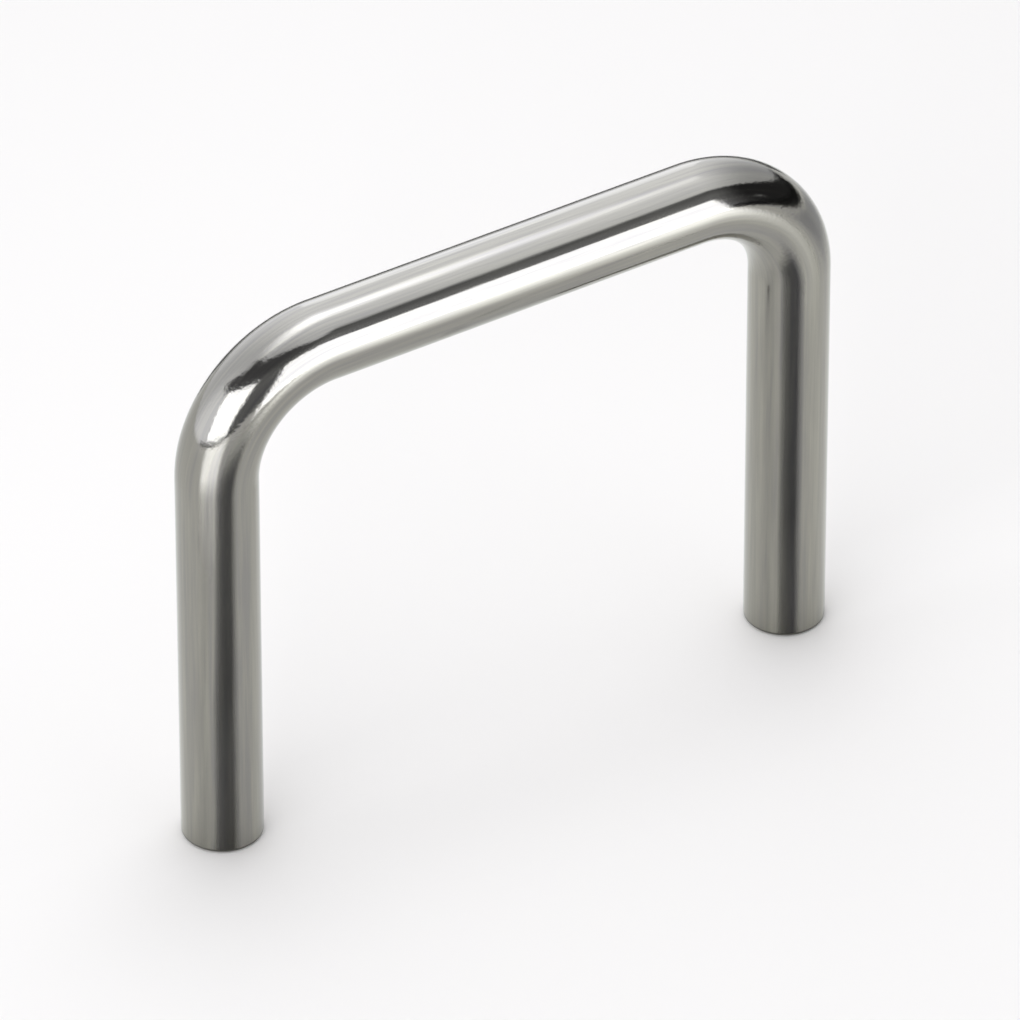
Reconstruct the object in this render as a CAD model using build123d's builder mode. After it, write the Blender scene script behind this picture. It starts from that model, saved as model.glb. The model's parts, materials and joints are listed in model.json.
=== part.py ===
from build123d import *

import os
from math import radians, tan

# U-shaped pull handle: one round stainless bar, bent twice, with a tapped blind hole up each leg.
# The feet stand on the XY plane, the grip runs along X, and the handle rises along +Z.
# The origin lies on the mounting plane, midway between the two screw holes. All sizes are in millimetres.

os.makedirs("parts", exist_ok=True)

# Driving dimensions of the bar
bar_diameter = 10.0
screw_spacing = 80.0  # between the axes of the two legs
projection = 72.0  # from the mounting plane to the outside of the grip
inside_bend_radius = 9.5
foot_edge_radius = 0.5  # the sharp edge left by the saw, taken off by polishing

# Driving dimensions of the screw holes, drilled for an M5 thread
core_diameter = 4.2
hole_depth = 13.0  # to the end of the full diameter
mouth_chamfer = 0.5  # 45 degree countersink that leads the screw in
drill_point_angle = 118.0

# Sizes that follow from them
bar_radius = bar_diameter / 2
bend_radius = inside_bend_radius + bar_radius  # of the bar's axis
leg_x = screw_spacing / 2
grip_z = projection - bar_radius
core_radius = core_diameter / 2
mouth_radius = core_radius + mouth_chamfer
drill_point_length = core_radius / tan(radians(drill_point_angle / 2))

# The space that the drill, the countersink and the tap leave, from its mouth at the origin upwards
with BuildPart() as screw_hole:
    with BuildSketch(Plane.XZ):
        with BuildLine():
            Polyline(
                (0, 0),
                (mouth_radius, 0),
                (core_radius, mouth_chamfer),
                (core_radius, hole_depth),
                (0, hole_depth + drill_point_length),
                close=True,
            )
        make_face()
    revolve(axis=Axis.Z)

# The bent bar: up the left leg, along the grip and down the right leg
with BuildPart() as handle:
    with BuildLine(Plane.XZ) as bar_axis:
        FilletPolyline(
            (-leg_x, 0),
            (-leg_x, grip_z),
            (leg_x, grip_z),
            (leg_x, 0),
            radius=bend_radius,
        )
    with BuildSketch(Plane.XY):
        with Locations((-leg_x, 0)):
            Circle(bar_radius)
    sweep(path=bar_axis.line)
    foot_edges = handle.edges().group_by(Axis.Z)[0]
    fillet(foot_edges, foot_edge_radius)
    with Locations((-leg_x, 0, 0), (leg_x, 0, 0)):
        add(screw_hole.part, mode=Mode.SUBTRACT)

handle.part.label = "handle"
export_step(handle.part, "parts/handle.step")
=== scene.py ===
# %% [markdown]
# A U-shaped pull handle
#
# The object is one round stainless bar, bent twice into a U and tapped up both ends, so that two screws
# from behind a door or drawer front hold it. There is nothing else to it, so all of the work is in two
# things: a bend that keeps its round section, and a polished surface that mirrors the room as steel does.
#
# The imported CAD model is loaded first. It is the frame: its sizes and its place are the ones to follow.

# %% Load the frame
import json
from math import atan2, cos, hypot, pi, radians, sin, tan

import bmesh
import bpy
from mathutils import Matrix, Vector


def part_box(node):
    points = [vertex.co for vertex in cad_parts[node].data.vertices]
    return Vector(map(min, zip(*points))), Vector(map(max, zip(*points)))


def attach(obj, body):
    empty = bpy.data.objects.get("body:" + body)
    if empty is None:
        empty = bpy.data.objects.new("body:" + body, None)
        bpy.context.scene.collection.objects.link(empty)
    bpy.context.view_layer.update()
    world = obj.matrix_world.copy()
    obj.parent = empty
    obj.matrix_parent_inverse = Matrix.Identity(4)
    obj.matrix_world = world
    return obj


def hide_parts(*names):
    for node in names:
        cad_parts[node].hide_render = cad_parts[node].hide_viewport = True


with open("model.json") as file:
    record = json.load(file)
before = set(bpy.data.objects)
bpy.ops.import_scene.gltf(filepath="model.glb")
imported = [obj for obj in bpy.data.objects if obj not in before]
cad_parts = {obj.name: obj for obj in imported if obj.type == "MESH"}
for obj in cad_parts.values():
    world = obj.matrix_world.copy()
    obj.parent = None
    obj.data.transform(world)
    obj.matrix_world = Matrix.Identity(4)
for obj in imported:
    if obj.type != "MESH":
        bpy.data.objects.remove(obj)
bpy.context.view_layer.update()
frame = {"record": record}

# %% [markdown]
# Sizes
#
# The bar's diameter, the spacing of the screws and the height are read from the frame, so the new mesh
# lies exactly where the CAD handle lies. The bend, the rounded rim of the feet and the depth of the holes
# are sizes that the box doesn't show, and they are written here once.

# %% Sizes, in metres
MM = 0.001

screw_mount = next(m for m in frame["record"]["mounts"] if m["name"] == "screw_holes")
handle_low, handle_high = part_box("handle")

leg_x = screw_mount["dims"]["spacing_x_mm"] * MM / 2
bar_radius = handle_high.x - leg_x
grip_z = handle_high.z - bar_radius

bend_radius = 14.5 * MM  # of the bar's axis
foot_edge_radius = 0.5 * MM

core_radius = screw_mount["dims"]["hole_r_mm"] * MM
hole_depth = 13.0 * MM  # to the end of the full diameter
mouth_chamfer = 0.5 * MM
drill_point_angle = radians(118)
drill_point = core_radius / tan(drill_point_angle / 2)

bend_x = leg_x - bend_radius
bend_z = grip_z - bend_radius

print("bar", 2 * bar_radius / MM, "legs", 2 * leg_x / MM, "bends at x", bend_x / MM, "and z", bend_z / MM)

# %% [markdown]
# The bent bar
#
# A real bar is pushed round a former, so its section stays a circle square to its axis. A bevelled curve
# could make it, but a circle that is extruded and spun shows the bender's own steps: up the leg, round
# the bend, along the grip, round the second bend and down. After each step the newest ring is the one
# that stays selected, so the next step carries on from it.
#
# Each straight run has a short collar at both ends. It keeps the first facet of a bend from tilting the
# smoothed shading of the whole run.

# %% Extrude and spin the bar
SIDES = 128  # of the bar's section
BEND_STEPS = 64  # round each bend
collar = 0.5 * MM


def pull(x, z):
    """Extrudes the selected ring along a straight run, with a collar at each end of it."""
    run = Vector((x, 0, z))
    end = run.normalized() * collar
    for step in (end, run - 2 * end, end):
        bpy.ops.mesh.extrude_edges_move(TRANSFORM_OT_translate={"value": step})


def bend(x):
    """Spins the selected ring a quarter turn about the bend's centre."""
    bpy.ops.mesh.spin(steps=BEND_STEPS, angle=pi / 2, center=(x, 0, bend_z), axis=(0, -1, 0))


bpy.ops.object.select_all(action="DESELECT")
bpy.ops.mesh.primitive_circle_add(vertices=SIDES, radius=bar_radius, location=(-leg_x, 0, 0))
bar = bpy.context.object
bar.name = "bent_bar"
bpy.ops.object.transform_apply(location=True, rotation=False, scale=False)

bpy.ops.object.mode_set(mode="EDIT")
pull(0, bend_z)
bend(-bend_x)
pull(2 * bend_x, 0)
bend(bend_x)
pull(0, -bend_z)
bpy.ops.object.mode_set(mode="OBJECT")

print("bar with open ends:", len(bar.data.polygons), "faces")

# %% [markdown]
# Feet and screw holes
#
# Each end is sawn square, faced, drilled and countersunk on a lathe, which also rounds its sharp rim.
# The same steps make it here: close the end, inset a circle for the mouth of the hole, push that up as a
# chamfer, as a bore and as the cone that a drill leaves, and bevel the rim.

# %% Close, drill and round the feet
TINY = 1e-6
RIM_STEPS = 8  # across the rounded rim


def select_edges(test):
    """Selects the edges whose two ends both pass the test, and nothing else."""
    bpy.ops.mesh.select_all(action="DESELECT")
    mesh = bmesh.from_edit_mesh(bar.data)
    for edge in mesh.edges:
        if all(test(corner.co) for corner in edge.verts):
            edge.select_set(True)
    bmesh.update_edit_mesh(bar.data)


def push(height):
    """Extrudes the selected face up into the leg."""
    bpy.ops.mesh.extrude_region_move(TRANSFORM_OT_translate={"value": (0, 0, height)})


bpy.ops.object.mode_set(mode="EDIT")
bpy.ops.mesh.select_mode(type="EDGE")
for axis_x in (-leg_x, leg_x):
    select_edges(lambda p: abs(p.z) < TINY and p.x * axis_x > 0)
    bpy.ops.mesh.edge_face_add()
    bpy.ops.mesh.inset(thickness=bar_radius - core_radius - mouth_chamfer)
    push(mouth_chamfer)
    narrower = core_radius / (core_radius + mouth_chamfer)
    bpy.ops.transform.resize(value=(narrower, narrower, 1))
    push(hole_depth - mouth_chamfer)
    push(drill_point)
    bpy.ops.mesh.merge(type="CENTER")
    select_edges(lambda p: abs(p.z) < TINY and abs(hypot(p.x - axis_x, p.y) - bar_radius) < TINY)
    bpy.ops.mesh.bevel(offset=foot_edge_radius, segments=RIM_STEPS, affect="EDGES")
bpy.ops.mesh.select_all(action="SELECT")
bpy.ops.mesh.remove_doubles(threshold=TINY)
bpy.ops.mesh.normals_make_consistent(inside=False)
bpy.ops.object.mode_set(mode="OBJECT")

print("bar with drilled feet:", len(bar.data.polygons), "faces")

# %% [markdown]
# The thread
#
# A tap cuts the thread into the drilled hole, so a tap cuts it here too: one ridge of the M5 profile is
# wound up a helix by the Screw modifier, its two ends are capped, and a Boolean takes it away from the
# wall. Its flanks open at 60 degrees and its pitch is 0.8 mm.

# %% Tap both holes
thread_radius = 2.5 * MM
thread_pitch = 0.8 * MM
thread_angle = radians(60)  # between its flanks
thread_turns = 13
THREAD_STEPS = 64  # in each turn
thread_tip = thread_pitch / 8
tap_core = core_radius - 0.15 * MM  # just inside the wall, so that the cut starts cleanly
flank = (thread_radius - tap_core) * tan(thread_angle / 2)


def make_tap(axis_x):
    """The ridge of a tap, which starts just below the foot and winds up the hole."""
    bpy.ops.object.select_all(action="DESELECT")
    bpy.ops.mesh.primitive_plane_add(size=1, location=(0, 0, 0), rotation=(pi / 2, 0, 0))
    tap = bpy.context.object
    bpy.ops.object.transform_apply(location=True, rotation=True, scale=False)
    for corner in tap.data.vertices:
        outside = corner.co.x > 0
        half = thread_tip / 2 + (0 if outside else flank)
        side = 1 if corner.co.z > 0 else -1
        corner.co = (thread_radius if outside else tap_core, 0, side * half - thread_pitch / 2)
    bpy.ops.object.mode_set(mode="EDIT")
    bpy.ops.mesh.select_all(action="SELECT")
    bpy.ops.mesh.delete(type="ONLY_FACE")
    bpy.ops.object.mode_set(mode="OBJECT")
    screw = tap.modifiers.new("thread", "SCREW")
    screw.axis = "Z"
    screw.angle = 2 * pi
    screw.iterations = thread_turns
    screw.screw_offset = thread_pitch
    screw.steps = THREAD_STEPS
    screw.render_steps = THREAD_STEPS
    screw.use_merge_vertices = False
    bpy.ops.object.modifier_apply(modifier=screw.name)
    bpy.ops.object.mode_set(mode="EDIT")
    bpy.ops.mesh.select_all(action="SELECT")
    bpy.ops.mesh.fill_holes(sides=4)
    bpy.ops.mesh.normals_make_consistent(inside=False)
    bpy.ops.transform.translate(value=(axis_x, 0, 0))
    bpy.ops.object.mode_set(mode="OBJECT")
    return tap


for axis_x in (-leg_x, leg_x):
    tap = make_tap(axis_x)
    cut = bar.modifiers.new("tapping", "BOOLEAN")
    cut.operation = "DIFFERENCE"
    cut.solver = "EXACT"
    cut.object = tap
    bpy.ops.object.select_all(action="DESELECT")
    bar.select_set(True)
    bpy.context.view_layer.objects.active = bar
    bpy.ops.object.modifier_apply(modifier=cut.name)
    bpy.data.objects.remove(tap)

bpy.ops.object.shade_smooth_by_angle(angle=radians(30))
print("bar with threads:", len(bar.data.polygons), "faces")

# %% [markdown]
# Straight coordinates for a bent bar
#
# The polishing marks run along the bar and follow it round the bends. A pattern on plain Object
# coordinates would run straight on through a bend, and an unwrapped UV map would have a seam. So each
# point also stores where it lay before the bar was bent: two coordinates across the bar and one along it.
# A second attribute says how much of the bend a point has, because bending stretches and roughens steel.

# %% Store where each point lay before bending
quarter = bend_radius * pi / 2


def unbend(p):
    """(across, across, along) of a point on the straight bar, and its share of a bend from 0 to 1."""
    side = 1 if p.x > 0 else -1
    x = abs(p.x)
    if x > bend_x and p.z > bend_z:
        turn = atan2(x - bend_x, p.z - bend_z)
        out = hypot(x - bend_x, p.z - bend_z) - bend_radius
        along = bend_x + bend_radius * turn
        bent = sin(2 * turn)
    elif p.z > bend_z:
        out = p.z - grip_z
        along = x
        bent = 0
    else:
        out = x - leg_x
        along = bend_x + quarter + bend_z - p.z
        bent = 0
    return (out, p.y, side * along), bent


bar.data.attributes.new("straight_bar", "FLOAT_VECTOR", "POINT")
bar.data.attributes.new("bend_share", "FLOAT", "POINT")
straight = bar.data.attributes["straight_bar"]
bends = bar.data.attributes["bend_share"]
for corner in bar.data.vertices:
    place, share = unbend(corner.co)
    straight.data[corner.index].vector = place
    bends.data[corner.index].value = share

print("bar straightened out:", round(2 * (bend_x + quarter + bend_z) / MM, 1), "mm long")

# %% [markdown]
# Polished stainless steel
#
# The bar is austenitic stainless steel, ground along its length and then buffed until it mirrors the
# room. What is left of the grinding shows as fine streaks along the bar, and the wheel's passes as wider
# ones that are a little warmer or cooler. In the bends the outer fibres were stretched, so the mirror
# there is slightly uneven, and the edge of a dark reflection breaks up into specks.
#
# All of it follows the stored straight coordinates. Three small helpers come first: one for colours, one
# that adds a node with its settings and links, and one that fills in a colour ramp.

# %% Helpers for materials
def linear(hex_colour):
    """A linear colour with full alpha, from an sRGB hex value."""
    parts = [int(hex_colour[i : i + 2], 16) / 255 for i in (1, 3, 5)]
    return [c / 12.92 if c <= 0.04045 else ((c + 0.055) / 1.055) ** 2.4 for c in parts] + [1]


def add(tree, kind, settings=None, **links):
    """Adds a node with its settings. A link is named for its input, or by its number as in _0."""
    node = tree.nodes.new(kind)
    for key, value in (settings or {}).items():
        if isinstance(key, int) or key in node.inputs:
            node.inputs[key].default_value = value
        else:
            setattr(node, key, value)
    for name, socket in links.items():
        key = int(name[1:]) if name[1:].isdigit() else name.replace("_", " ")
        tree.links.new(socket, node.inputs[key])
    return node


def set_ramp(node, stops):
    """Gives a colour ramp its stops from left to right, as (position, hex colour or plain level)."""
    ramp = node.color_ramp
    while len(ramp.elements) < len(stops):
        ramp.elements.new(1)
    for element, (position, look) in zip(ramp.elements, stops):
        element.position = position
        element.color = linear(look) if isinstance(look, str) else (look, look, look, 1)


print("mid grey in linear light:", round(linear("#808080")[0], 3))

# %% Steel of the bar
grain_width = 0.45 * MM  # real grinding marks are finer, and these are drawn coarser so that they show
grain_length = 14 * MM
grain_depth = 0.004 * MM
pass_width = 2.6 * MM
pass_length = 160 * MM
dimple_size = 0.45 * MM
dimple_depth = 0.018 * MM


def polished_steel():
    """Stainless steel as a mirror with lengthwise streaks, and uneven where it was bent."""
    material = bpy.data.materials.new("polished_stainless_steel")
    material.use_nodes = True
    tree = material.node_tree
    shader = tree.nodes["Principled BSDF"]
    shader.inputs["Metallic"].default_value = 1
    straight = add(tree, "ShaderNodeAttribute", {"attribute_name": "straight_bar"}).outputs["Vector"]
    bent = add(tree, "ShaderNodeAttribute", {"attribute_name": "bend_share"}).outputs["Fac"]

    size = (1 / grain_width, 1 / grain_width, 1 / grain_length)
    place = add(tree, "ShaderNodeMapping", {"Scale": size}, Vector=straight).outputs["Vector"]
    look = {"Scale": 1, "Detail": 3, "Roughness": 0.6}
    grain = add(tree, "ShaderNodeTexNoise", look, Vector=place).outputs["Fac"]

    size = (1 / pass_width, 1 / pass_width, 1 / pass_length)
    place = add(tree, "ShaderNodeMapping", {"Scale": size}, Vector=straight).outputs["Vector"]
    look = {"Scale": 1, "Detail": 1, "Roughness": 0.5}
    passes = add(tree, "ShaderNodeTexNoise", look, Vector=place).outputs["Fac"]

    streaks = add(tree, "ShaderNodeMix", {"Factor": 0.5}, _2=grain, _3=passes).outputs["Result"]
    tone = add(tree, "ShaderNodeValToRGB", Fac=streaks)
    set_ramp(tone, [(0.36, "#8D8B88"), (0.5, "#97958E"), (0.64, "#A09E95")])
    tree.links.new(tone.outputs["Color"], shader.inputs["Base Color"])

    reach = {"From Min": 0.3, "From Max": 0.7, "To Min": 0.07, "To Max": 0.13}
    gloss = add(tree, "ShaderNodeMapRange", reach, Value=grain).outputs["Result"]
    tree.links.new(gloss, shader.inputs["Roughness"])

    scratches = add(tree, "ShaderNodeBump", {"Strength": 1, "Distance": grain_depth}, Height=grain)
    size = (1 / dimple_size, 1 / dimple_size, 1 / dimple_size)
    place = add(tree, "ShaderNodeMapping", {"Scale": size}, Vector=straight).outputs["Vector"]
    look = {"Scale": 1, "Detail": 3, "Roughness": 0.6}
    dimples = add(tree, "ShaderNodeTexNoise", look, Vector=place).outputs["Fac"]
    depth = add(tree, "ShaderNodeMath", {"operation": "MULTIPLY"}, _0=dimples, _1=bent).outputs["Value"]
    uneven = add(tree, "ShaderNodeBump", {"Strength": 1, "Distance": dimple_depth}, Height=depth,
                 Normal=scratches.outputs["Normal"])
    tree.links.new(uneven.outputs["Normal"], shader.inputs["Normal"])
    return material


bar.data.materials.clear()
bar.data.materials.append(polished_steel())
print("finish:", bar.data.materials[0].name)

# %% [markdown]
# Turned ends
#
# The buffing wheel goes round the outside only. The end of each leg keeps the finish of the lathe: it is
# duller, with fine rings round the screw hole. Its colour is also painted darker than turned steel is, as
# painted shade: it gives the rounded rim the thin dark line of the shadow that it would mirror at the foot.
# A second material on the same mesh does it, on every face that lies in the hole, under the foot or on
# the rim.

# %% Steel of the feet, the rims and the threads
ring_spacing = 0.16 * MM  # about twice that of a real facing cut, so that the rings show
ring_depth = 0.006 * MM
WAVE_TURN = 20 / (2 * pi)  # the wave texture makes this many rings in one unit of its scale


def turned_steel_with_painted_shade():
    """The same steel straight from the lathe and the tap: satin, with fine rings, and painted darker as
    shade for the rim.
    """
    material = bpy.data.materials.new("turned_steel_with_painted_rim_shade")
    material.use_nodes = True
    tree = material.node_tree
    shader = tree.nodes["Principled BSDF"]
    shader.inputs["Metallic"].default_value = 1
    straight = add(tree, "ShaderNodeAttribute", {"attribute_name": "straight_bar"}).outputs["Vector"]
    kind = {"wave_type": "RINGS", "rings_direction": "Z", "Distortion": 0.4, "Detail": 1}
    kind["Scale"] = 1 / (ring_spacing * WAVE_TURN)
    rings = add(tree, "ShaderNodeTexWave", kind, Vector=straight).outputs["Fac"]

    tone = add(tree, "ShaderNodeValToRGB", Fac=rings)
    # Darker than turned steel is: partly its duller finish, partly painted shade for the dark line at the
    # rim.
    set_ramp(tone, [(0.0, "#67655F"), (1.0, "#7B7973")])
    tree.links.new(tone.outputs["Color"], shader.inputs["Base Color"])
    gloss = add(tree, "ShaderNodeMapRange", {"To Min": 0.26, "To Max": 0.36}, Value=rings)
    tree.links.new(gloss.outputs["Result"], shader.inputs["Roughness"])
    grooves = add(tree, "ShaderNodeBump", {"Strength": 1, "Distance": ring_depth}, Height=rings)
    tree.links.new(grooves.outputs["Normal"], shader.inputs["Normal"])
    return material


bar.data.materials.append(turned_steel_with_painted_shade())
turned_faces = 0
for face in bar.data.polygons:
    middle = face.center
    off_axis = hypot(abs(middle.x) - leg_x, middle.y)
    in_hole = off_axis < bar_radius - foot_edge_radius and middle.z < bend_z / 2
    if in_hole or middle.z < foot_edge_radius:
        face.material_index = 1
        turned_faces += 1
print("turned faces:", turned_faces, "of", len(bar.data.polygons))

# %% [markdown]
# Floor
#
# The handle stands on a large sheet of pale matt paper. It takes the soft shadows of the feet, and it is
# what the two legs mirror. The paper that the steel mirrors is a shade greener than the paper that the
# camera sees, which the cool lamps turn into a neutral white.

# %% Floor
floor_radius = 3
paper_in_steel = "#F0EFE8"
paper_to_camera = "#EFECE6"

bpy.ops.object.select_all(action="DESELECT")
bpy.ops.mesh.primitive_circle_add(vertices=96, radius=floor_radius, fill_type="NGON")
floor = bpy.context.object
floor.name = "paper_floor"
paper = bpy.data.materials.new("matt_white_paper")
paper.use_nodes = True
paper_tree = paper.node_tree
paper_shader = paper_tree.nodes["Principled BSDF"]
seen = add(paper_tree, "ShaderNodeLightPath").outputs["Is Camera Ray"]
tones = {"data_type": "RGBA", 6: linear(paper_in_steel), 7: linear(paper_to_camera)}
paper_tone = add(paper_tree, "ShaderNodeMix", tones, _0=seen).outputs[2]
paper_tree.links.new(paper_tone, paper_shader.inputs["Base Color"])
paper_shader.inputs["Roughness"].default_value = 0.9
paper_shader.inputs["Specular IOR Level"].default_value = 0
floor.data.materials.append(paper)
print("floor:", floor.dimensions.x, "m across")

# %% [markdown]
# Camera
#
# The camera looks down on the handle from its left front, through a long lens from far away, as product
# photographs are made. The legs then stay almost upright and parallel in the picture.

# %% Camera
UP = Vector((0, 0, 1))


def bearing(angle):
    """A level direction, in degrees from +X towards +Y."""
    return Vector((cos(radians(angle)), sin(radians(angle)), 0))


camera_bearing = -121.93
camera_elevation = radians(37.16)
camera_distance = 1.6
frame_width = 122.0 * MM  # across the picture, at the handle
aim = Vector((0.56, 0, 31.44)) * MM

back = bearing(camera_bearing) * cos(camera_elevation) + UP * sin(camera_elevation)
camera = bpy.data.objects.new("camera", bpy.data.cameras.new("camera"))
bpy.context.scene.collection.objects.link(camera)
camera.location = aim + back * camera_distance
camera.rotation_mode = "QUATERNION"
camera.rotation_quaternion = (-back).to_track_quat("-Z", "Y")
camera.data.sensor_width = 36
camera.data.lens = camera.data.sensor_width * camera_distance / frame_width
camera.data.clip_end = 20
bpy.context.scene.camera = camera
bpy.context.scene.view_settings.view_transform = "Standard"
print("lens:", round(camera.data.lens), "mm")

# %% [markdown]
# Soft lights
#
# Polished steel shows little but its surroundings, so the studio is laid out round the handle as a
# photographer would do it: a softbox in front and one at the left, a narrow one overhead, a weak one
# behind, and a small lamp far off at the right. Two more panels lie on the paper and stand for the pools
# of light in front of the first two. Area lights do this best: they have a size, so the steel mirrors
# them as panels, and the camera doesn't see them.
#
# A panel's nodes let its light fade towards its edges, as cloth over a lamp does, and let the panel
# narrow towards its lower edge.

# %% A soft panel
light_colour = "#F4F6FD"  # daylight, a little cooler than the paper
HARD = 0.001  # share of a panel over which a hard edge fades


def panel(name, centre, facing, top, width, height, brightness, rise=HARD, fall=HARD, side=HARD, taper=1):
    """A soft light. rise, fall and side are the shares of its height and half width over which it fades
    at the lower edge, the upper edge and the sides. taper is its lower edge as a share of the upper."""
    light = bpy.data.lights.new(name, "AREA")
    light.shape = "RECTANGLE"
    light.size = width
    light.size_y = height
    light.energy = pi * width * height  # so that the strength in the nodes is the panel's brightness
    light.color = linear(light_colour)[:3]
    light.use_nodes = True
    tree = light.node_tree
    place = add(tree, "ShaderNodeNewGeometry").outputs["Parametric"]
    parts = add(tree, "ShaderNodeSeparateXYZ", Vector=place)
    across = parts.outputs["X"]
    along = parts.outputs["Y"]

    lower = add(tree, "ShaderNodeMapRange", {"From Max": rise}, Value=along).outputs["Result"]
    fade = {"From Min": 1, "From Max": 1 - fall}
    upper = add(tree, "ShaderNodeMapRange", fade, Value=along).outputs["Result"]

    narrow = {"operation": "MULTIPLY_ADD", 1: 1 - taper, 2: taper}
    width_here = add(tree, "ShaderNodeMath", narrow, _0=along).outputs["Value"]
    to_edge = add(tree, "ShaderNodeMath", {"operation": "PINGPONG", 1: 0.5}, _0=across).outputs["Value"]
    off = add(tree, "ShaderNodeMath", {"operation": "SUBTRACT", 0: 0.5}, _1=to_edge).outputs["Value"]
    off = add(tree, "ShaderNodeMath", {"operation": "DIVIDE"}, _0=off, _1=width_here).outputs["Value"]
    fade = {"From Min": 0.5, "From Max": 0.5 * (1 - side), "To Max": brightness}
    fade["interpolation_type"] = "SMOOTHSTEP"
    strength = add(tree, "ShaderNodeMapRange", fade, Value=off).outputs["Result"]
    for level in (lower, upper):
        share = add(tree, "ShaderNodeMath", {"operation": "MULTIPLY"}, _0=strength, _1=level)
        strength = share.outputs["Value"]
    tree.links.new(strength, tree.nodes["Emission"].inputs["Strength"])

    lamp = bpy.data.objects.new(name, light)
    bpy.context.scene.collection.objects.link(lamp)
    lamp.matrix_world = Matrix((top.cross(-facing), top, -facing)).transposed().to_4x4()
    lamp.location = centre


print("a softbox is", light_colour)

# %% Panels that stand and panels that lie
def standing(name, angle, distance, low, high, width, brightness, turn=0, **softness):
    """A panel that stands at a bearing from one height to another, and faces the handle or is turned."""
    centre = bearing(angle) * distance + UP * (low + high) / 2
    panel(name, centre, -bearing(angle + turn), UP, width, high - low, brightness, **softness)


def lying(name, foot, angle, near, far, width, brightness, **softness):
    """A pool of light on the paper, which brightens away from the handle."""
    away = bearing(angle)
    centre = foot + away * (near + far) / 2 + UP * MM
    panel(name, centre, UP, away, width, far - near, brightness, **softness)


left_foot = Vector((-leg_x, 0, 0))
right_foot = Vector((leg_x, 0, 0))
print("feet at x", left_foot.x / MM, "and", right_foot.x / MM, "mm")

# %% Softboxes
left_bearing = -152.5  # of the left softbox
left_distance = 1.6

standing("front_softbox", angle=-75.9, turn=-14.1, distance=0.1866, low=0.033, high=0.17, width=0.19,
         brightness=3.6)
standing("left_softbox", angle=left_bearing, distance=left_distance, low=0.102, high=1.31, width=1.63,
         brightness=3.8, taper=0.72)
standing("back_softbox", angle=64, distance=0.8, low=0.12, high=0.42, width=0.22, brightness=0.55)
standing("far_lamp", angle=-35, distance=0.8, low=0.16, high=0.225, width=0.1, brightness=0.6,
         rise=0.5, fall=0.5, side=1)
panel("overhead_softbox", centre=Vector((0.005, 0.035, 0.317)), facing=-UP, top=bearing(198.4), width=0.15,
      height=0.348, brightness=3.2, rise=0.318, fall=0.65, side=1)

# %% Pools of light on the paper
pool_near = 0.055  # from the left foot
pool_far = 1.54

lying("front_pool", foot=Vector((-0.03, -0.018, 0)), angle=-59, near=0.087, far=0.49, width=0.21,
      brightness=2.3, rise=0.365, side=0.48)
lying("left_pool", foot=left_foot, angle=-145.5, near=pool_near, far=pool_far, width=1.5, brightness=1.75,
      rise=0.05, side=0.5, taper=pool_near / pool_far)

# The front softbox is so close that it would burn out the paper, so its pool alone stands for it there.
bpy.data.objects["front_softbox"].visible_diffuse = False

# %% [markdown]
# The room
#
# The rest of what the steel mirrors is far away: a pale ceiling and wall, and the dark end of the room
# where the camera stands. It is painted in the world, as zones that change smoothly along a direction.
# The paper gets only a share of that light, so that it stays pale and doesn't burn out.

# %% Zones of the room
world = bpy.data.worlds.new("studio")
bpy.context.scene.world = world
world.use_nodes = True
room_tree = world.node_tree
room_tree.nodes.clear()
direction = add(room_tree, "ShaderNodeTexCoord").outputs["Generated"]
X, Y, Z = (1, 0, 0), (0, 1, 0), (0, 0, 1)


def zone(axis, start, end, low, high):
    """A brightness that changes smoothly from low to high between two places along an axis."""
    along = add(room_tree, "ShaderNodeVectorMath", {"operation": "DOT_PRODUCT", 1: axis}, _0=direction)
    reach = {"From Min": start, "From Max": end, "To Min": low, "To Max": high}
    reach["interpolation_type"] = "SMOOTHSTEP"
    return add(room_tree, "ShaderNodeMapRange", reach, Value=along.outputs["Value"]).outputs["Result"]


def combine(operation, *levels):
    """Joins several levels of brightness into one."""
    result = levels[0]
    for level in levels[1:]:
        joined = add(room_tree, "ShaderNodeMath", {"operation": operation}, _0=result, _1=level)
        result = joined.outputs["Value"]
    return result


print("axes of the room:", X, Y, Z)

# %% Dark end
dark_left = zone(X, start=0.1, end=0.38, low=0.66, high=1)
dark_right = zone(X, start=0.45, end=0.75, low=1, high=0.1)
dark_top = zone(Z, start=0.52, end=0.74, low=0.4, high=0.21)
dark_end = combine("MULTIPLY", dark_top, dark_left, dark_right)
print("dark end:", len(room_tree.nodes), "nodes")

# %% Ceiling and wall
# Directions that the edges of the ceiling and of the wall lie square to
right_slant = (0.42, 0.535, 1)
front_slant = (0.045, -0.303, 1)
left_slant = (0.853, 0.883, 1)
wall_slant = (-0.35, 1, 0)

right_ceiling = zone(right_slant, start=0.65, end=0.71, low=0, high=1)
front_ceiling = zone(front_slant, start=0.89, end=0.95, low=0, high=1)
wall = zone(wall_slant, start=0.1, end=0.3, low=0, high=1)

# High up, the pale part ends at the left. Lower down it goes on.
left_edge = zone(left_slant, start=0.2, end=0.34, low=0, high=1)
below_edge = zone(Z, start=0.52, end=0.62, low=1, high=0)
left_limit = combine("MAXIMUM", left_edge, below_edge)
pale = combine("MULTIPLY", combine("MAXIMUM", right_ceiling, front_ceiling, wall), left_limit)

left_glow = zone(X, start=-0.95, end=-0.55, low=1.6, high=1)
left_shade = zone(X, start=-0.5, end=0.3, low=0.64, high=1)
right_shade = zone(X, start=0.4, end=0.95, low=1, high=0.4)
back_glow = zone(Y, start=-0.7, end=0.15, low=1.37, high=1.95)
pale_end = combine("MULTIPLY", pale, back_glow, left_shade, right_shade, left_glow)
print("with ceiling and wall:", len(room_tree.nodes), "nodes")

# %% Light of the room
paper_share = 0.84  # of the room's light

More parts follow.
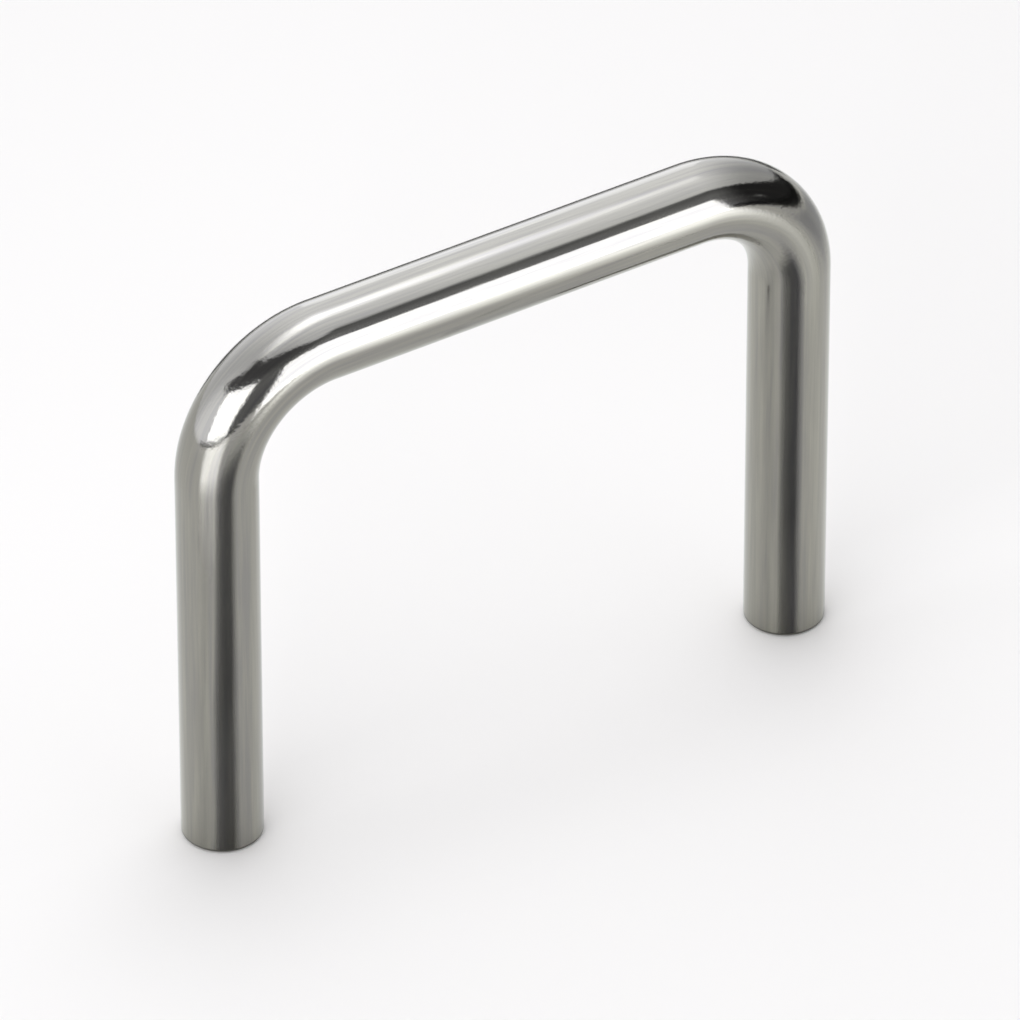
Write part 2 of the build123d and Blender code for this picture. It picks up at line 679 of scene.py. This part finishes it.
room = combine("MAXIMUM", dark_end, pale_end)
on_paper = add(room_tree, "ShaderNodeLightPath").outputs["Is Diffuse Ray"]
share = add(room_tree, "ShaderNodeMapRange", {"To Min": 1, "To Max": paper_share}, Value=on_paper)
strength = combine("MULTIPLY", room, share.outputs["Result"])
background = add(room_tree, "ShaderNodeBackground", {"Color": linear(light_colour)}, Strength=strength)
add(room_tree, "ShaderNodeOutputWorld", Surface=background.outputs["Background"])
print("room:", len(room_tree.nodes), "nodes")

# %% [markdown]
# Dark cards
#
# A photographer gives round steel its dark lines with dark cards, out of the camera's view. Low cards
# stand on the paper behind, at the right and under the left softbox, and draw the thin dark line along
# the top of the grip and the dark edges in the two bends. A round grey mat at the right takes down the
# outside of the right bend.
#
# Each leg has a card of its own, which leans out from in front of its foot along the very directions
# that the leg mirrors, so the stripe in the steel is straight and even. Only mirror rays see the cards
# and the mat: they hide nothing, light nothing and cast no shadow.

# %% Card and what sees it
def card_material(name, hex_colour):
    """Matt card of one colour."""
    material = bpy.data.materials.new(name)
    material.use_nodes = True
    shader = material.node_tree.nodes["Principled BSDF"]
    shader.inputs["Base Color"].default_value = linear(hex_colour)
    shader.inputs["Roughness"].default_value = 1
    shader.inputs["Specular IOR Level"].default_value = 0
    return material


def mirror_only(card, name, material):
    """Makes a card that shows in reflections alone."""
    card.name = name
    card.data.materials.append(material)
    card.visible_camera = False
    card.visible_diffuse = False
    card.visible_shadow = False
    card.visible_transmission = False


print("cards show in reflections alone")

# %% Low dark cards
right_card_bearing = -17
right_card_distance = 0.52
left_card_distance = left_distance - 0.01  # just in front of the left softbox


def low_card(name, foot, facing, width, height, hex_colour):
    """A card that stands on the paper and faces along a bearing."""
    turn = (pi / 2, 0, radians(facing + 90))
    bpy.ops.object.select_all(action="DESELECT")
    bpy.ops.mesh.primitive_plane_add(size=1, location=foot + UP * height / 2, rotation=turn)
    card = bpy.context.object
    card.scale = (width, height, 1)
    mirror_only(card, name, card_material("dark_" + name, hex_colour))


low_card("back_card", foot=Vector((0.1, 0.15, 0)), facing=-90, width=0.26, height=0.046,
         hex_colour="#848484")
low_card("right_card", foot=bearing(right_card_bearing) * right_card_distance,
         facing=right_card_bearing + 180, width=0.85, height=0.08, hex_colour="#1C1C1C")
low_card("left_card", foot=bearing(left_bearing) * left_card_distance, facing=left_bearing + 180,
         width=2.2, height=0.068, hex_colour="#303030")

# %% Grey mat
mat_radius = 0.17
mat_centre = Vector((0.27, -0.01, MM))


def soft_mat(hex_colour):
    """Grey felt that fades out from half its radius on, so that no edge shows in the steel."""
    material = card_material("grey_mat", hex_colour)
    tree = material.node_tree
    place = add(tree, "ShaderNodeTexCoord").outputs["Object"]
    out = add(tree, "ShaderNodeVectorMath", {"operation": "LENGTH"}, _0=place).outputs["Value"]
    fade = {"interpolation_type": "SMOOTHSTEP", "From Min": mat_radius, "From Max": mat_radius / 2}
    soft = add(tree, "ShaderNodeMapRange", fade, Value=out).outputs["Result"]
    tree.links.new(soft, tree.nodes["Principled BSDF"].inputs["Alpha"])
    return material


bpy.ops.object.select_all(action="DESELECT")
bpy.ops.mesh.primitive_circle_add(vertices=64, radius=mat_radius, fill_type="NGON", location=mat_centre)
mirror_only(bpy.context.object, "right_mat", soft_mat("#BFBFBF"))
print("mat:", 2 * mat_radius, "m across")

# %% Material of a leg's card
# How dark the card is across its width: a faint stripe, a gap and the main stripe.
leg_stripes = [
    (0, 0), (0.23, 0.16), (0.38, 0.02), (0.42, 0.02), (0.5, 0.6),
    (0.57, 0.86), (0.68, 1), (0.83, 1), (1, 0),
]
foot_share = 0.3  # of the card's length, over which it darkens from its lower edge
reach_blur = 3 * MM


def leg_card_material(name, fade_share, near_reach, far_reach, foot_colour, colour):
    """Dark grey card with soft edges, which fades out over a share of its length at the far end."""
    material = card_material(name, colour)
    tree = material.node_tree
    shader = tree.nodes["Principled BSDF"]
    uv = add(tree, "ShaderNodeTexCoord").outputs["UV"]
    parts = add(tree, "ShaderNodeSeparateXYZ", Vector=uv)
    along = parts.outputs["Y"]
    stripes = add(tree, "ShaderNodeValToRGB", Fac=parts.outputs["X"])
    set_ramp(stripes, leg_stripes)

    # Less light reaches the card near the foot, so its colour is paler there.
    paler = add(tree, "ShaderNodeValToRGB", Fac=along)
    set_ramp(paler, [(0, foot_colour), (foot_share, colour)])
    tree.links.new(paler.outputs["Color"], shader.inputs["Base Color"])

    # Only the leg beside the card shows it: a ray from elsewhere is longer, or has met the steel twice.
    path = add(tree, "ShaderNodeLightPath")
    reach = {"operation": "MULTIPLY_ADD", 1: far_reach - near_reach, 2: near_reach}
    reach = add(tree, "ShaderNodeMath", reach, _0=along).outputs["Value"]
    excess = add(tree, "ShaderNodeMath", {"operation": "SUBTRACT"}, _0=path.outputs["Ray Length"], _1=reach)
    fade = {"From Min": reach_blur, "From Max": -reach_blur}
    near = add(tree, "ShaderNodeMapRange", fade, Value=excess.outputs["Value"]).outputs["Result"]
    fade = {"From Min": 2, "From Max": 1}
    first = add(tree, "ShaderNodeMapRange", fade, Value=path.outputs["Glossy Depth"]).outputs["Result"]
    fade = {"interpolation_type": "SMOOTHSTEP", "From Min": 1, "From Max": 1 - fade_share}
    inside = add(tree, "ShaderNodeMapRange", fade, Value=along).outputs["Result"]

    alpha = stripes.outputs["Color"]
    for level in (inside, near, first):
        alpha = add(tree, "ShaderNodeMath", {"operation": "MULTIPLY"}, _0=alpha, _1=level).outputs["Value"]
    tree.links.new(alpha, shader.inputs["Alpha"])
    return material


print("stripes of a leg card:", len(leg_stripes), "stops")

# %% Cards of the legs
card_gap = 0.3 * MM  # between a leg and its card


def leg_card(name, foot, from_angle, to_angle, narrowing, length, slope, **look):
    """A card that leans out from a foot, for the leg to mirror as straight stripes. Its two angles are
    places round the leg, from the side that faces the camera."""
    bpy.ops.object.select_all(action="DESELECT")
    bpy.ops.mesh.primitive_grid_add(x_subdivisions=24, y_subdivisions=4, size=1)
    card = bpy.context.object
    for corner in card.data.vertices:
        across = corner.co.x + 0.5
        up = corner.co.y + 0.5
        turn = to_angle - (to_angle - from_angle) * (1 - across) / (1 + narrowing * up**2)
        surface = foot + bearing(camera_bearing + turn) * bar_radius
        away = bearing(camera_bearing + 2 * turn) * (card_gap + length * up)
        corner.co = surface + away + UP * slope * length * up
    mirror_only(card, name, leg_card_material("dark_" + name, **look))


leg_card("left_leg_card", left_foot, from_angle=-41.9, to_angle=28.1, narrowing=0.8, length=35 * MM,
         slope=1.6, fade_share=0.3, near_reach=53 * MM, far_reach=66 * MM,
         foot_colour="#A0A0A0", colour="#767676")
leg_card("right_leg_card", right_foot, from_angle=-39, to_angle=23, narrowing=0, length=33 * MM,
         slope=1.0, fade_share=0.05, near_reach=34 * MM, far_reach=46 * MM,
         foot_colour="#9E9E9E", colour="#757575")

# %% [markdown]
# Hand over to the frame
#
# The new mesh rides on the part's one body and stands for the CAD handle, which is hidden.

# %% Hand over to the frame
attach(bar, "root")
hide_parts("handle")
